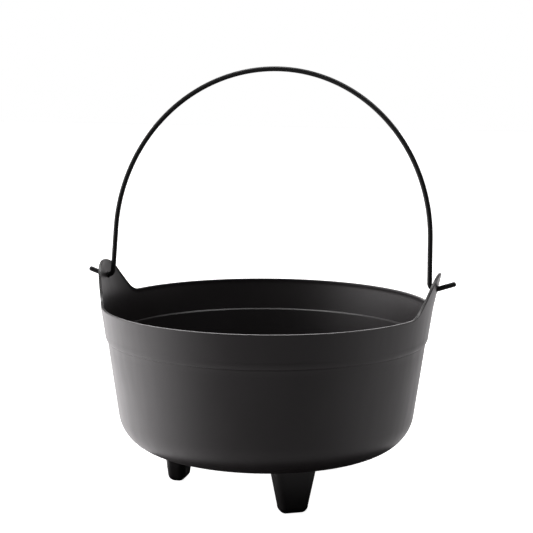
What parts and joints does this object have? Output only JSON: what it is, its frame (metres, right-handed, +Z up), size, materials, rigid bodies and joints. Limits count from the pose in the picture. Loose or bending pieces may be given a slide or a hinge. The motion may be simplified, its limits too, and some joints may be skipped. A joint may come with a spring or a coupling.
{
  "type": "cauldron",
  "caption": "Round black cauldron planter pot with a plain band, upstanding ears at its sides, short tapered feet and a wire bail that swings over the open top.",
  "frame": {"origin": "on the floor, on the pot's axis, under the middle of the base", "axes": "+Z up along the pot's axis; X runs from ear to ear and is the bail's hinge direction, with a foot under the ear on -X; -Y is the front, and the bail leans back towards +Y at rest"},
  "size_m": [0.3424, 0.3, 0.3831],
  "materials": {
    "pot_plastic": "black moulded polypropylene, satin",
    "foot_plastic": "black moulded polypropylene, satin",
    "bail_wire": "black coated steel wire"
  },
  "bodies": {
    "pot": {"pot_shell": "pot_plastic", "foot_left": "foot_plastic", "foot_front": "foot_plastic", "foot_rear": "foot_plastic"},
    "bail": {"wire_bail": "bail_wire"}
  },
  "joints": [
    {"name": "bail_hinge", "type": "hinge", "parent": "pot", "child": "bail", "pos_m": [0, 0, 0.19], "axis": [1, 0, 0], "range_deg": [-82, 99]}
  ]
}
